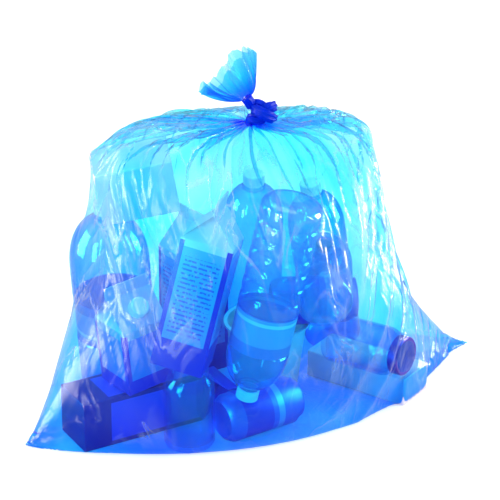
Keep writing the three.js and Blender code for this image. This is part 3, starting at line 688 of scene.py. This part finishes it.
def lay(item, lean=0.0, toward=0.0, spin=0.0):
    """Turns a thing as its CAD node is turned, and puts it where that node is."""
    pieces, outline = item
    first = pieces[0]
    turn = Matrix.Rotation(math.radians(toward), 4, "Z") @ Matrix.Rotation(math.radians(lean), 4, "Y")
    turn = turn @ Matrix.Rotation(math.radians(spin - toward), 4, "Z")
    points = np.array([turn @ v.co for v in first.data.vertices])
    low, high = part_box(node_of(first))
    place = (low + high) / 2 - Vector((points.min(0) + points.max(0)) / 2)
    for piece in pieces:
        piece.matrix_world = Matrix.Translation(place) @ turn
        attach(piece, "root")
        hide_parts(node_of(piece))
    obstacles.append((outline, np.array(turn.to_3x3()), np.array(place)))


def fill_bag():
    lay(carton("carton_corner", "dark_board", CARTON_BODY), 90, 2, 2)
    lay(jar("jar_open", False))
    lay(can("can_front"), 90, 6)
    lay(boxed("juice_box", "pale_board", (0.064, 0.040, 0.158)), 90, -62, 28)
    lay(tub("tub"))
    lay(bottle("bottle_large", 0.054, 0.285, (0.088, 0.150)), 4, 185)
    lay(carton("carton_back", "carton_board", CARTON_BODY), 4, 60, 8)
    lay(bottle("bottle_back", 0.042, 0.276), 6, 250)
    lay(bottle("bottle_right", 0.040, 0.262, (0.080, 0.132)), 11, 195)
    lay(jar("jar", True), 88, -62)
    small, outline = carton("carton_small", "carton_board", SMALL_CARTON_BODY)
    small[0].data.materials[0] = MATERIALS["plain_board"]
    lay((small + [roof_cap("carton_small_cap")], outline), 5, 170, -82)
    lay(can("can_back"), 90, -20)
    lay(bottle("bottle_round", 0.038, 0.176), 87, 61)
    lay(bottle("bottle_ribbed", 0.041, 0.292, (0.156, 0.214), 6), 168, 151)
    lay(carton("carton_front", "carton_board", CARTON_BODY), 15, -4, -40)
    lay(boxed("box_pale", "pale_board", (0.104, 0.070, 0.078)), 12, 200, -20)


# Film: its standing shape

def smooth_stations(count):
    """Points along one smooth curve through the stations."""
    knots = np.array(STATIONS)
    span = np.concatenate([[0], np.cumsum(np.linalg.norm(np.diff(knots, axis=0), axis=1) ** 0.5)])
    slopes = np.gradient(knots, span, axis=0)
    at = np.linspace(0, span[-1], count)
    k = np.clip(np.searchsorted(span, at, side="right") - 1, 0, len(knots) - 2)
    width = (span[k + 1] - span[k])[:, None]
    t = ((at - span[k]) / width[:, 0])[:, None]
    return (
        (2 * t**3 - 3 * t**2 + 1) * knots[k]
        + (t**3 - 2 * t**2 + t) * width * slopes[k]
        + (3 * t**2 - 2 * t**3) * knots[k + 1]
        + (t**3 - t**2) * width * slopes[k + 1]
    )


def ring_at(station, shares):
    """One ring of the standing bag, at the given shares of the way round from the right corner."""
    half_width, half_depth, height = station
    angles = np.linspace(0, 2 * math.pi, 721)
    rise = min(1.0, height / BELLY_HEIGHT)
    pinch = 1 + 0.9 * (1 - rise) ** 2
    gather = np.clip((height - SHOULDER_HEIGHT) / (NECK_HEIGHT - SHOULDER_HEIGHT), 0, 1) ** 2
    across = half_width * np.cos(angles) + BODY_SHIFT * min(1.0, height / CORNER_HEIGHT) * (1 - gather)
    deep = half_depth * np.sign(np.sin(angles)) * np.abs(np.sin(angles)) ** pinch
    steps = np.hypot(np.diff(across), np.diff(deep))
    run = np.concatenate([[0], np.cumsum(steps)]) / steps.sum()
    flat = (1 - np.cos(angles)) / 4
    flat = np.where(angles <= math.pi, flat, 1 - flat)
    low = (1 - min(1.0, height / CORNER_HEIGHT)) ** 2
    way = np.interp(shares, low * flat + (1 - low) * run, angles)
    sideways = np.interp(way, angles, across)
    tilted = height - CROWN_TILT * sideways * np.clip((height - TILT_FROM) / TILT_OVER, 0, 1)
    return np.stack([sideways, np.interp(way, angles, deep), tilted], 1)


def standing_shape(columns, rows):
    """Grid of points from the bottom seam, over the floor and up to the neck."""
    shares = np.arange(columns) / columns
    rings = np.stack([ring_at(s, shares) for s in smooth_stations(90)])
    seam = rings[0].copy()
    seam[:, 1] = -SEAM_BOW * np.clip(seam[:, 0] / SEAM_HALF, 0, 1) ** 2
    seam[:, 0] += SEAM_REACH * np.clip(seam[:, 0] / SEAM_HALF, 0, 1) ** 2
    path = np.concatenate([seam[None], rings])
    lengths = np.linalg.norm(np.diff(path, axis=0), axis=2)
    run = np.concatenate([np.zeros((1, columns)), np.cumsum(lengths, axis=0)])
    grid = np.empty((rows + 1, columns, 3))
    for c in range(columns):
        at = np.linspace(0, run[-1, c], rows + 1)
        for axis in range(3):
            grid[:, c, axis] = np.interp(at, run[:, c], path[:, c, axis])
    return grid, run[-1].max()


def grid_normals(grid):
    along = np.gradient(grid, axis=0)
    around = np.roll(grid, -1, 1) - np.roll(grid, 1, 1)
    normal = np.cross(around, along)
    return normal / np.maximum(np.linalg.norm(normal, axis=2, keepdims=True), 1e-9)


def seed_folds(grid):
    """Pleats that run down from the neck and lean over, and slight crumples everywhere."""
    rows, columns = grid.shape[0] - 1, grid.shape[1]
    draw = np.random.default_rng(7)
    down = (1 - np.arange(rows + 1) / rows)[:, None]
    turn = (2 * math.pi * np.arange(columns) / columns)[None]
    phase = PLEATS * turn + 1.1 * np.sin(3 * turn + 0.6) + 0.9 * np.sin(5 * turn + 2.0) + 3.0 * down
    swell = np.clip(down / 0.10, 0, 1) * np.exp(-((down / 0.34) ** 2))
    vary = 1 + 0.45 * np.sin(2 * turn + 0.4) + 0.35 * np.sin(7 * turn + 1.0)
    depth = PLEAT_DEPTH * swell * vary
    normal = grid_normals(grid)
    around = np.roll(grid, -1, 1) - np.roll(grid, 1, 1)
    around /= np.maximum(np.linalg.norm(around, axis=2, keepdims=True), 1e-9)
    crumple = np.zeros((rows + 1, columns))
    for waves, steps, size in CRUMPLES:
        for way in (-1, 1):
            angle = waves * turn + 6.28 * draw.random() + steps * 3.1 * down * way
            bent = angle + 1.6 * np.sin(9 * down * draw.random() + 2 * turn)
            crumple += size * (1 - 2 * np.abs(np.sin(bent / 2)) ** 0.8)
    lift = depth * np.cos(phase) + crumple * np.clip(down / 0.2, 0, 1)
    moved = grid + normal * lift[..., None] + around * (1.15 * depth * np.cos(phase + 0.5))[..., None]
    moved[-1] = grid[-1]
    moved[0] = grid[0]
    return moved


def raise_folds(grid):
    """Long sharp folds that run down and across the film from where it is pulled."""
    rows, columns = grid.shape[0] - 1, grid.shape[1]
    across, along = 2 * FLAT_SIZE[0], FOLDED_LENGTH
    turns = (np.arange(columns) / columns * across)[None]
    down = ((1 - np.arange(rows + 1) / rows) * along)[:, None]
    lift = np.zeros((rows + 1, columns))
    for (turn_a, down_a), (turn_b, down_b) in LONG_FOLDS:
        run = np.array([(turn_b - turn_a) * across, (down_b - down_a) * along])
        aside = (turns - turn_a * across + across / 2) % across - across / 2
        below = down - down_a * along
        share = np.clip((aside * run[0] + below * run[1]) / (run @ run), 0, 1)
        gap = np.hypot(aside - share * run[0], below - share * run[1])
        ridge = FOLD_HEIGHT * np.sin(math.pi * share) ** 0.5 * np.exp(-gap / FOLD_WIDTH)
        lift = np.maximum(lift, ridge)
    return grid + grid_normals(grid) * lift[..., None]


# Film: settling over what is in the bag

def push_out(points):
    """Moves points that are inside a thing to just outside it."""
    for (kind, *shape), turn, place in obstacles:
        local = (points - place) @ turn
        if kind == "gable":
            (width, depth, height), shoulder = shape
            roof = max(height - shoulder, 1e-6)
            slope = np.clip((height - local[:, 2]) / roof, FIN_SHARE, 1) if height > shoulder else 1
            room = np.stack(
                [
                    width / 2 * slope + FILM_GAP - np.abs(local[:, 0]),
                    depth / 2 + FILM_GAP - np.abs(local[:, 1]),
                    height / 2 + FILM_GAP - np.abs(local[:, 2] - height / 2),
                ],
                1,
            )
            hit = np.flatnonzero((room > 0).all(1))
            axis = room[hit].argmin(1)
            middle = np.array([0, 0, height / 2])
            sign = np.sign(local[hit, axis] - middle[axis])
            local[hit, axis] += sign * room[hit, axis]
        else:
            profile = np.array(shape[0])
            outer = profile[np.argsort(profile[:, 1], kind="stable")]
            reach = np.hypot(local[:, 0], local[:, 1])
            edge = np.interp(local[:, 2], outer[:, 1], outer[:, 0]) + FILM_GAP
            foot, top = outer[0, 1] - FILM_GAP, outer[-1, 1] + FILM_GAP
            hit = np.flatnonzero((local[:, 2] > foot) & (local[:, 2] < top) & (reach < edge))
            outward = edge[hit] - reach[hit]
            rise = top - local[hit, 2]
            drop = local[hit, 2] - foot
            side = (outward < rise) & (outward < drop)
            scale = edge[hit] / np.maximum(reach[hit], 1e-6)
            local[hit[side], :2] *= scale[side, None]
            upward = ~side & (rise <= drop)
            local[hit[upward], 2] = top
            local[hit[~side & ~upward], 2] = foot
        points[hit] = local[hit] @ turn.T + place
    return points


def hold_lengths(first, second, longest, shortest, give):
    """Pulls pairs of points to at most one length and presses them towards at least another."""
    gap = second - first
    length = np.maximum(np.linalg.norm(gap, axis=-1), 1e-9)
    pressed = np.where(length < shortest, give * (length - shortest), 0)
    error = np.where(length > longest, length - longest, pressed)
    move = gap * (0.5 * error / length)[..., None]
    first += move
    second -= move


def settle(grid, design, flat_length, sweeps):
    """Film that hardly stretches, laid over the contents, the floor and its own slack."""
    rows, columns = grid.shape[0] - 1, grid.shape[1]
    girth_step = GIRTH_SLACK * 2 * FLAT_SIZE[0] / columns
    rise_step = flat_length / rows
    cross_step = math.hypot(girth_step, rise_step)
    start_steps = np.linalg.norm(np.roll(grid, -1, 1) - grid, axis=2)
    kept = np.minimum(girth_step, 1.15 * start_steps.mean(1))[:, None]
    top, tips = grid[-1].copy(), grid[0, [0, columns // 2]].copy()
    mirror = (-np.arange(columns)) % columns
    for sweep in range(sweeps):
        normal = grid_normals(grid)
        grid += PUFF * normal
        grid[..., 2] -= WEIGHT
        grid += SHAPE_PULL * (design - grid)
        even, odd = grid[:, 0::2].copy(), grid[:, 1::2].copy()
        hold_lengths(even, odd, girth_step, kept, 0.5)
        grid[:, 0::2], grid[:, 1::2] = even, odd
        odd, even = grid[:, 1::2].copy(), np.roll(grid[:, 0::2], -1, 1)
        hold_lengths(odd, even, girth_step, kept, 0.5)
        grid[:, 1::2], grid[:, 0::2] = odd, np.roll(even, 1, 1)
        for first_row in (0, 1):
            last = first_row + 2 * ((rows + 1 - first_row) // 2)
            lower, upper = grid[first_row:last:2], grid[first_row + 1:last:2]
            hold_lengths(lower, upper, rise_step, rise_step, 0.25)
            for way in (-1, 1):
                slanted = np.roll(upper, way, 1)
                hold_lengths(lower, slanted, cross_step, 0.5 * cross_step, 0.2)
                upper[:] = np.roll(slanted, -way, 1)
        bend = np.roll(grid, 1, 1) + np.roll(grid, -1, 1) - 2 * grid
        grid += SMOOTH_AROUND * bend
        grid[1:-1] += SMOOTH_ALONG * (grid[2:] + grid[:-2] - 2 * grid[1:-1])
        if sweep % 2 == 0:
            grid[:] = push_out(grid.reshape(-1, 3)).reshape(grid.shape)
        grid[..., 2] = np.maximum(grid[..., 2], FILM_ON_FLOOR)
        grid[0] = 0.5 * (grid[0] + grid[0][mirror])
        grid[0, :, 2] = FILM_ON_FLOOR
        grid[0, [0, columns // 2]] = tips
        grid[-1] = top
    return grid


def finer(grid, columns, rows):
    """The same film on a finer grid."""
    down = np.linspace(0, grid.shape[0] - 1, rows + 1)
    around = np.arange(columns) * grid.shape[1] / columns
    r = np.minimum(down.astype(int), grid.shape[0] - 2)
    tr = (down - r)[:, None, None]
    tall = grid[r] * (1 - tr) + grid[r + 1] * tr
    c = around.astype(int)
    tc = (around - c)[None, :, None]
    return tall[:, c] * (1 - tc) + tall[:, (c + 1) % grid.shape[1]] * tc


def settled_film():
    grid = None
    levels = 3
    for (columns, rows), sweeps in list(zip(GRIDS, SWEEPS))[:levels]:
        design, flat_length = standing_shape(columns, rows)
        flat_length *= LENGTH_SLACK
        design = raise_folds(design)
        grid = seed_folds(design) if grid is None else finer(grid, columns, rows)
        grid = settle(grid, design, flat_length, sweeps)
    return grid


# Film: knot and tuft

def knot_path(foot):
    points = []
    for i in range(KNOT_STEPS + 1):
        t = KNOT_GAP + (2 * math.pi - 2 * KNOT_GAP) * i / KNOT_STEPS
        reach = KNOT_RADIUS + KNOT_SWING * math.cos(3 * t)
        along = KNOT_RADIUS + KNOT_SWING - reach * math.cos(2 * t)
        points.append(Vector((reach * math.sin(2 * t), along, -KNOT_RISE * math.sin(3 * t))))
    entry = points[0] + Vector((-0.006, -0.003, -0.009))
    way_out = points[-1] + Vector((0.006, -0.003, 0.008))
    tip = way_out + Vector((0.001, -0.004, 0.006))
    turn = Matrix.Rotation(TUFT_LEAN + math.pi / 2, 3, "Z")
    path = [turn @ p for p in [entry, *points, way_out, tip]]
    return [p - path[0] + foot for p in path]


def tube(path, sides, reach_of):
    """Rings of points along a path, carried along it without twisting."""
    rings = []
    side = None
    for i, centre in enumerate(path):
        ahead = (path[min(i + 1, len(path) - 1)] - path[max(i - 1, 0)]).normalized()
        side = ahead.orthogonal() if side is None else side - ahead * side.dot(ahead)
        side.normalize()
        other = ahead.cross(side)
        ring = []
        for k in range(sides):
            angle = 2 * math.pi * k / sides
            reach = reach_of(i, angle)
            ring.append(centre + reach * (math.cos(angle) * side + math.sin(angle) * other))
        rings.append(ring)
    return rings


def rope_reach(step, angle):
    """Radius of the gathered film along the knot, with ridges that wind round it."""
    ridges = 0.13 * math.sin(7 * angle + 0.10 * step) + 0.08 * math.sin(3 * angle - 0.21 * step)
    return ROPE_FULLNESS * ROPE_RADIUS * (1 + ridges)


def tuft_rings(foot, heading):
    """The flared end above the knot: deep soft folds that open into a fan."""
    left = Vector((math.cos(TUFT_LEAN), math.sin(TUFT_LEAN), 0))
    aim = heading.lerp((Vector((0, 0, 1)) + 0.65 * left).normalized(), 0.9).normalized()
    wide_way = (left - aim * left.dot(aim)).normalized()
    thick_way = aim.cross(wide_way)
    rings = []
    for row in range(TUFT_ROWS + 1):
        share = row / TUFT_ROWS
        flare = share**0.55
        wide = ROPE_RADIUS + (TUFT_HALF_WIDTH - ROPE_RADIUS) * flare
        thick = ROPE_RADIUS + (TUFT_HALF_DEPTH - ROPE_RADIUS) * flare
        ring = []
        for k in range(TUFT_POINTS):
            angle = 2 * math.pi * k / TUFT_POINTS
            fold = TUFT_FOLDS * angle + 1.3 * math.sin(2 * angle + 1.0) + 2.0 * share
            swing = 0.75 * share**0.6 * math.sin(fold) + 0.25 * math.sin(5 * angle + 4 * share)
            slide = 0.055 * share * math.cos(fold + 0.7)
            across = wide * math.cos(angle + slide) * (1 + 0.12 * swing)
            deep = thick * (math.sin(angle + slide) + swing)
            lip = 1 + 0.10 * share * math.sin(3 * angle + 0.8) + 0.06 * share * math.sin(7 * angle + 2)
            lip += 0.012 * share**4 * (math.sin(23 * angle) + math.sin(41 * angle + 1))
            aside = across / TUFT_SPLAY_WIDTH
            splay = -0.05 * share * aside**2 - 0.16 * share * aside
            up = TUFT_LENGTH * (share * lip + splay)
            ring.append(foot + aim * up + wide_way * across + thick_way * deep)
        rings.append(ring)
    return rings


def bag_film():
    tub_low, tub_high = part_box("tub")
    shift = (tub_low + tub_high) / 2 - TUB_PLACE
    shift.z = 0
    grid = settled_film()
    rows, columns = grid.shape[0], grid.shape[1]
    vertices = [tuple(p) for p in (grid.reshape(-1, 3) + np.array([0.0, shift.y, 0.0]))]
    faces, uvs, slots = [], [], []

    def quads(start, count, around, bottom, top, slot):
        for r in range(count - 1):
            for c in range(around):
                n = (c + 1) % around
                a, b = start + r * around, start + (r + 1) * around
                faces.append((a + c, a + n, b + n, b + c))
                low = bottom + (top - bottom) * r / (count - 1)
                high = bottom + (top - bottom) * (r + 1) / (count - 1)
                left, right = c / around, (c + 1) / around
                uvs.extend([(left, low), (right, low), (right, high), (left, high)])
                slots.append(slot)

    half = columns // 2
    quads(0, rows, columns, 0.0, NECK_UV, 0)
    faces[:] = [
        tuple(v if v >= columns or v <= half else columns - v for v in face) for face in faces
    ]
    foot = Vector((0, 0, NECK_HEIGHT + 0.003)) + shift
    path = knot_path(foot)
    rope = tube(path, ROPE_SIDES, rope_reach)
    start = len(vertices)
    vertices += [tuple(p) for ring in rope for p in ring]
    quads(start, len(rope), ROPE_SIDES, NECK_UV, TUFT_UV, 1)
    tuft = tuft_rings(path[-1], (path[-1] - path[-2]).normalized())
    start = len(vertices)
    vertices += [tuple(p) for ring in tuft for p in ring]
    quads(start, len(tuft), TUFT_POINTS, TUFT_UV, 1.0, 0)
    mesh = bpy.data.meshes.new(VISUAL + "bag_film")
    mesh.from_pydata(vertices, [], faces)
    layer = mesh.uv_layers.new(name="film_grid")
    layer.data.foreach_set("uv", np.array(uvs, np.float32).ravel())
    mesh.materials.append(MATERIALS["film"])
    mesh.materials.append(MATERIALS["film_gathered"])
    mesh.polygons.foreach_set("material_index", np.array(slots, np.int32))
    mesh.shade_smooth()
    film = bpy.data.objects.new(VISUAL + "bag_film", mesh)
    scene.collection.objects.link(film)
    work = bmesh.new()
    work.from_mesh(mesh)
    bmesh.ops.delete(work, geom=[v for v in work.verts if not v.link_faces], context="VERTS")
    work.to_mesh(mesh)
    work.free()
    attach(film, "root")
    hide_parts("bag_film")
    return film


# Studio

WORLD_LIGHT = 0.62
FLOOR_GLOW = 0.52  # lifts the lit floor to white where it is seen
CAMERA_DISTANCE = 3.4
VIEW_WIDTH = 0.675  # across the picture at the bag


def background_rays(tree):
    """1 for rays that see the background: from the camera and through clear things."""
    path = add(tree, "ShaderNodeLightPath").outputs
    return math_node(tree, "MAXIMUM", path["Is Camera Ray"], path["Is Transmission Ray"])


def white_world():
    world = bpy.data.worlds.new("white_studio")
    scene.world = world
    world.use_nodes = True
    tree = world.node_tree
    tree.nodes.clear()
    light = add(tree, "ShaderNodeBackground", {"Color": (1, 1, 1, 1), "Strength": WORLD_LIGHT}).outputs[0]
    white = add(tree, "ShaderNodeBackground", {"Color": (1, 1, 1, 1), "Strength": 1.0}).outputs[0]
    both = add(tree, "ShaderNodeMixShader", {0: background_rays(tree), 1: light, 2: white}).outputs[0]
    add(tree, "ShaderNodeOutputWorld", {"Surface": both})


def white_floor():
    bpy.ops.mesh.primitive_grid_add(x_subdivisions=8, y_subdivisions=8, size=24)
    floor = bpy.context.object
    floor.name = "floor"
    floor.location.z = -0.0005
    material, tree = new_material("white_floor")
    place = add(tree, "ShaderNodeTexCoord").outputs["Object"]
    tone = colour_mix(tree, noise(tree, place, 3.0), (0.80, 0.80, 0.80, 1), (0.78, 0.78, 0.78, 1))
    matt = add(tree, "ShaderNodeBsdfDiffuse", {"Color": tone}).outputs[0]
    strength = math_node(tree, "MULTIPLY", background_rays(tree), FLOOR_GLOW)
    glow = add(tree, "ShaderNodeEmission", {"Color": (1, 1, 1, 1), "Strength": strength}).outputs[0]
    finish_material(tree, add(tree, "ShaderNodeAddShader", {0: matt, 1: glow}).outputs[0])
    floor.data.materials.append(material)


def lamp(name, place, target, size, power, card=False):
    """An area lamp; a card shows only in gloss, as a white board beside the set does."""
    light = bpy.data.lights.new(name, "AREA")
    light.shape = "RECTANGLE"
    light.size, light.size_y = size
    light.energy = power
    made = bpy.data.objects.new(name, light)
    made.visible_diffuse = not card
    made.visible_transmission = not card
    made.location = place
    made.rotation_euler = (Vector(target) - Vector(place)).to_track_quat("-Z", "Y").to_euler()
    scene.collection.objects.link(made)


def camera():
    azimuth, elevation = math.radians(-27.5), math.radians(25.5)
    level = math.cos(elevation)
    aim = Vector((0.001, 0, 0.2157))
    back = Vector((math.sin(azimuth) * level, -math.cos(azimuth) * level, math.sin(elevation)))
    data = bpy.data.cameras.new("photo_camera")
    data.sensor_fit = "HORIZONTAL"
    data.angle = 2 * math.atan(VIEW_WIDTH / 2 / CAMERA_DISTANCE)
    data.clip_end = 60
    made = bpy.data.objects.new("photo_camera", data)
    made.location = aim + back * CAMERA_DISTANCE
    made.rotation_euler = (-back).to_track_quat("-Z", "Y").to_euler()
    scene.collection.objects.link(made)
    scene.camera = made


def studio():
    white_world()
    white_floor()
    lamp("left_strip", (-1.5, -0.9, 0.9), (-0.1, 0, 0.25), (0.10, 1.2), 14)
    lamp("right_strip", (1.2, -1.1, 0.9), (0.1, 0, 0.25), (0.14, 1.2), 12)
    lamp("left_card", (-1.3, 0.6, 0.5), (-0.1, 0, 0.3), (0.6, 0.96), 60, card=True)
    lamp("front_left_card", (-1.6, -0.5, 0.5), (-0.1, 0, 0.3), (0.3, 0.96), 36, card=True)
    lamp("right_card", (1.5, -0.35, 0.5), (0.1, 0, 0.3), (0.6, 0.96), 70, card=True)
    lamp("top", (0.1, 0.3, 1.9), (0, 0, 0.2), (1.4, 1.4), 16)


camera()
fill_bag()
bag_film()
studio()
scene.view_settings.view_transform = "Standard"
scene.cycles.transparent_max_bounces = 64
scene.cycles.max_bounces = 16
